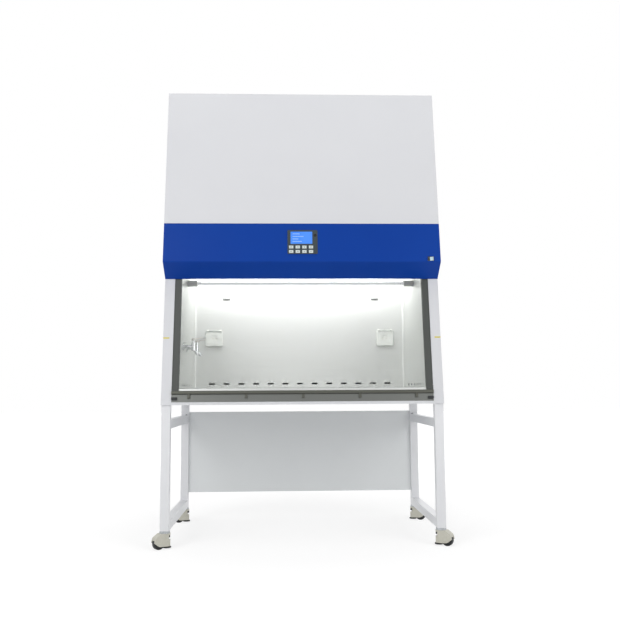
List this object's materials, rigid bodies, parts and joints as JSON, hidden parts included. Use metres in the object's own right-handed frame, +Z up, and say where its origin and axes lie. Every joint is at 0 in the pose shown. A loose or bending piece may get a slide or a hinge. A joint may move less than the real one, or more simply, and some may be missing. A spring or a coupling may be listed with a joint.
{
  "type": "biosafety cabinet",
  "caption": "Class II biosafety cabinet with a leaning sliding sash, stainless chamber and blue control band, on a tube stand with levelling casters.",
  "frame": {"origin": "on the floor, under the middle of the whole object's box", "axes": "+X to the user's right, +Y to the back, +Z up; the front faces -Y"},
  "size_m": [1.3762, 0.7754, 2.161],
  "materials": {
    "frame_paint": "semi-gloss light grey powder coat",
    "zinc_steel": "zinc plated, with a black swivel ring",
    "cast_paint": "cream paint on a casting",
    "black_nylon": "black nylon",
    "foot_rubber": "black rubber and plastic",
    "light_paint": "semi-gloss light grey powder coat",
    "blue_paint": "semi-gloss blue powder coat",
    "stainless": "brushed stainless sheet",
    "dark_steel": "brushed steel bar",
    "sash_glass": "clear tempered glass",
    "guide_plastic": "dark grey extruded plastic",
    "iron": "bare iron bar",
    "bright_steel": "turned metal",
    "filter_pack": "pleated glass fibre in a frame",
    "galvanised": "galvanised sheet",
    "motor_paint": "painted cast motor",
    "lamp_glass": "quartz glass tube",
    "white_plastic": "moulded white plastic",
    "clear_plastic": "clear moulded plastic",
    "tap_metal": "plated brass",
    "tap_lever": "white moulded lever",
    "panel_plastic": "dark grey panel foil",
    "display": "backlit blue display",
    "key_plastic": "pale grey keys",
    "switch_plastic": "black rocker"
  },
  "bodies": {
    "cabinet": {"stand_left": "frame_paint", "stand_right": "frame_paint", "knee_panel": "frame_paint", "caster_plates": "zinc_steel", "side_panel_left": "light_paint", "side_panel_right": "light_paint", "back_panel": "light_paint", "top_panel": "light_paint", "base_pan": "light_paint", "front_cover": "light_paint", "control_band": "blue_paint", "side_liner_left": "stainless", "side_liner_right": "stainless", "rear_liner": "stainless", "diffuser": "stainless", "work_tray": "stainless", "front_grille": "stainless", "armrest": "dark_steel", "sash_guides": "guide_plastic", "supply_filter": "filter_pack", "exhaust_filter": "filter_pack", "plenum_box": "galvanised", "blower_housing": "galvanised", "blower_motor": "motor_paint", "uv_lamp": "lamp_glass", "lamp_holders": "white_plastic", "outlet_boxes": "white_plastic", "tap_bodies": "tap_metal", "control_plate": "panel_plastic", "display": "display"},
    "sash": {"sash_glass": "sash_glass", "sash_edge": "stainless"},
    "counterweight": {"counterweight": "iron"},
    "lift_shaft": {"lift_shaft": "bright_steel"},
    "blower_wheel": {"blower_wheel": "galvanised"},
    "cover_left": {"outlet_cover_left": "clear_plastic"},
    "cover_right": {"outlet_cover_right": "clear_plastic"},
    "tap_front": {"tap_handle_front": "tap_lever"},
    "tap_rear": {"tap_handle_rear": "tap_lever"},
    "key_1": {"key_1": "key_plastic"},
    "key_2": {"key_2": "key_plastic"},
    "key_3": {"key_3": "key_plastic"},
    "key_4": {"key_4": "key_plastic"},
    "key_5": {"key_5": "key_plastic"},
    "key_6": {"key_6": "key_plastic"},
    "key_7": {"key_7": "key_plastic"},
    "key_8": {"key_8": "key_plastic"},
    "power_rocker": {"power_rocker": "switch_plastic"},
    "swivel_front_left": {"caster_housing_front_left": "cast_paint"},
    "wheel_front_left": {"caster_wheel_front_left": "black_nylon"},
    "foot_front_left": {"levelling_foot_front_left": "foot_rubber"},
    "swivel_front_right": {"caster_housing_front_right": "cast_paint"},
    "wheel_front_right": {"caster_wheel_front_right": "black_nylon"},
    "foot_front_right": {"levelling_foot_front_right": "foot_rubber"},
    "swivel_rear_left": {"caster_housing_rear_left": "cast_paint"},
    "wheel_rear_left": {"caster_wheel_rear_left": "black_nylon"},
    "foot_rear_left": {"levelling_foot_rear_left": "foot_rubber"},
    "swivel_rear_right": {"caster_housing_rear_right": "cast_paint"},
    "wheel_rear_right": {"caster_wheel_rear_right": "black_nylon"},
    "foot_rear_right": {"levelling_foot_rear_right": "foot_rubber"}
  },
  "joints": [
    {"name": "sash_slide", "type": "slide", "parent": "cabinet", "child": "sash", "axis": [0, 0.1392, 0.9903], "range_m": [0, 0.48]},
    {"name": "counterweight_slide", "type": "slide", "parent": "cabinet", "child": "counterweight", "axis": [0, -0.1392, -0.9903], "range_m": [0, 0.48]},
    {"name": "lift_shaft_turn", "type": "hinge", "parent": "cabinet", "child": "lift_shaft", "pos_m": [0, -0.21168, 1.90815], "axis": [1, 0, 0], "range_deg": [0, 787]},
    {"name": "blower_spin", "type": "hinge", "parent": "cabinet", "child": "blower_wheel", "pos_m": [0, 0.19158, 1.79], "axis": [0, -1, 0], "continuous": true},
    {"name": "cover_left_hinge", "type": "hinge", "parent": "cabinet", "child": "cover_left", "pos_m": [-0.468, 0.27508, 1.0323], "axis": [-1, 0, 0], "range_deg": [0, 110]},
    {"name": "cover_right_hinge", "type": "hinge", "parent": "cabinet", "child": "cover_right", "pos_m": [0.468, 0.27508, 1.0323], "axis": [-1, 0, 0], "range_deg": [0, 110]},
    {"name": "tap_front_turn", "type": "hinge", "parent": "cabinet", "child": "tap_front", "pos_m": [-0.5248, -0.18842, 0.92], "axis": [0, 0, 1], "range_deg": [0, 90]},
    {"name": "tap_rear_turn", "type": "hinge", "parent": "cabinet", "child": "tap_rear", "pos_m": [-0.5248, -0.04842, 0.92], "axis": [0, 0, 1], "range_deg": [0, 90]},
    {"name": "key_1_press", "type": "slide", "parent": "cabinet", "child": "key_1", "axis": [0, 0.9903, -0.1392], "range_m": [0, 0.001], "stiffness_N_per_m": 600},
    {"name": "key_2_press", "type": "slide", "parent": "cabinet", "child": "key_2", "axis": [0, 0.9903, -0.1392], "range_m": [0, 0.001], "stiffness_N_per_m": 600},
    {"name": "key_3_press", "type": "slide", "parent": "cabinet", "child": "key_3", "axis": [0, 0.9903, -0.1392], "range_m": [0, 0.001], "stiffness_N_per_m": 600},
    {"name": "key_4_press", "type": "slide", "parent": "cabinet", "child": "key_4", "axis": [0, 0.9903, -0.1392], "range_m": [0, 0.001], "stiffness_N_per_m": 600},
    {"name": "key_5_press", "type": "slide", "parent": "cabinet", "child": "key_5", "axis": [0, 0.9903, -0.1392], "range_m": [0, 0.001], "stiffness_N_per_m": 600},
    {"name": "key_6_press", "type": "slide", "parent": "cabinet", "child": "key_6", "axis": [0, 0.9903, -0.1392], "range_m": [0, 0.001], "stiffness_N_per_m": 600},
    {"name": "key_7_press", "type": "slide", "parent": "cabinet", "child": "key_7", "axis": [0, 0.9903, -0.1392], "range_m": [0, 0.001], "stiffness_N_per_m": 600},
    {"name": "key_8_press", "type": "slide", "parent": "cabinet", "child": "key_8", "axis": [0, 0.9903, -0.1392], "range_m": [0, 0.001], "stiffness_N_per_m": 600},
    {"name": "power_rocker_tip", "type": "hinge", "parent": "cabinet", "child": "power_rocker", "pos_m": [0.603, -0.36641, 1.31729], "axis": [0, 0.1392, 0.9903], "range_deg": [0, 16]},
    {"name": "swivel_front_left_turn", "type": "hinge", "parent": "cabinet", "child": "swivel_front_left", "pos_m": [-0.628, -0.33942, 0.07], "axis": [0, 0, 1], "continuous": true},
    {"name": "wheel_front_left_roll", "type": "hinge", "parent": "swivel_front_left", "child": "wheel_front_left", "pos_m": [-0.65258, -0.35663, 0.027], "axis": [0.5736, -0.8192, 0], "continuous": true},
    {"name": "foot_front_left_screw", "type": "slide", "parent": "swivel_front_left", "child": "foot_front_left", "axis": [0, 0, -1], "range_m": [0, 0.0075]},
    {"name": "swivel_front_right_turn", "type": "hinge", "parent": "cabinet", "child": "swivel_front_right", "pos_m": [0.628, -0.33942, 0.07], "axis": [0, 0, 1], "continuous": true},
    {"name": "wheel_front_right_roll", "type": "hinge", "parent": "swivel_front_right", "child": "wheel_front_right", "pos_m": [0.65258, -0.35663, 0.027], "axis": [0.5736, 0.8192, 0], "continuous": true},
    {"name": "foot_front_right_screw", "type": "slide", "parent": "swivel_front_right", "child": "foot_front_right", "axis": [0, 0, -1], "range_m": [0, 0.0075]},
    {"name": "swivel_rear_left_turn", "type": "hinge", "parent": "cabinet", "child": "swivel_rear_left", "pos_m": [-0.628, 0.35068, 0.07], "axis": [0, 0, 1], "continuous": true},
    {"name": "wheel_rear_left_roll", "type": "hinge", "parent": "swivel_rear_left", "child": "wheel_rear_left", "pos_m": [-0.65619, 0.34042, 0.027], "axis": [0.342, -0.9397, 0], "continuous": true},
    {"name": "foot_rear_left_screw", "type": "slide", "parent": "swivel_rear_left", "child": "foot_rear_left", "axis": [0, 0, -1], "range_m": [0, 0.0075]},
    {"name": "swivel_rear_right_turn", "type": "hinge", "parent": "cabinet", "child": "swivel_rear_right", "pos_m": [0.628, 0.35068, 0.07], "axis": [0, 0, 1], "continuous": true},
    {"name": "wheel_rear_right_roll", "type": "hinge", "parent": "swivel_rear_right", "child": "wheel_rear_right", "pos_m": [0.65619, 0.34042, 0.027], "axis": [0.342, 0.9397, 0], "continuous": true},
    {"name": "foot_rear_right_screw", "type": "slide", "parent": "swivel_rear_right", "child": "foot_rear_right", "axis": [0, 0, -1], "range_m": [0, 0.0075]}
  ],
  "couplings": [
    {"joint": "counterweight_slide", "follows": "sash_slide", "ratio": 1},
    {"joint": "lift_shaft_turn", "follows": "sash_slide", "rad_per_m": 28.571}
  ]
}
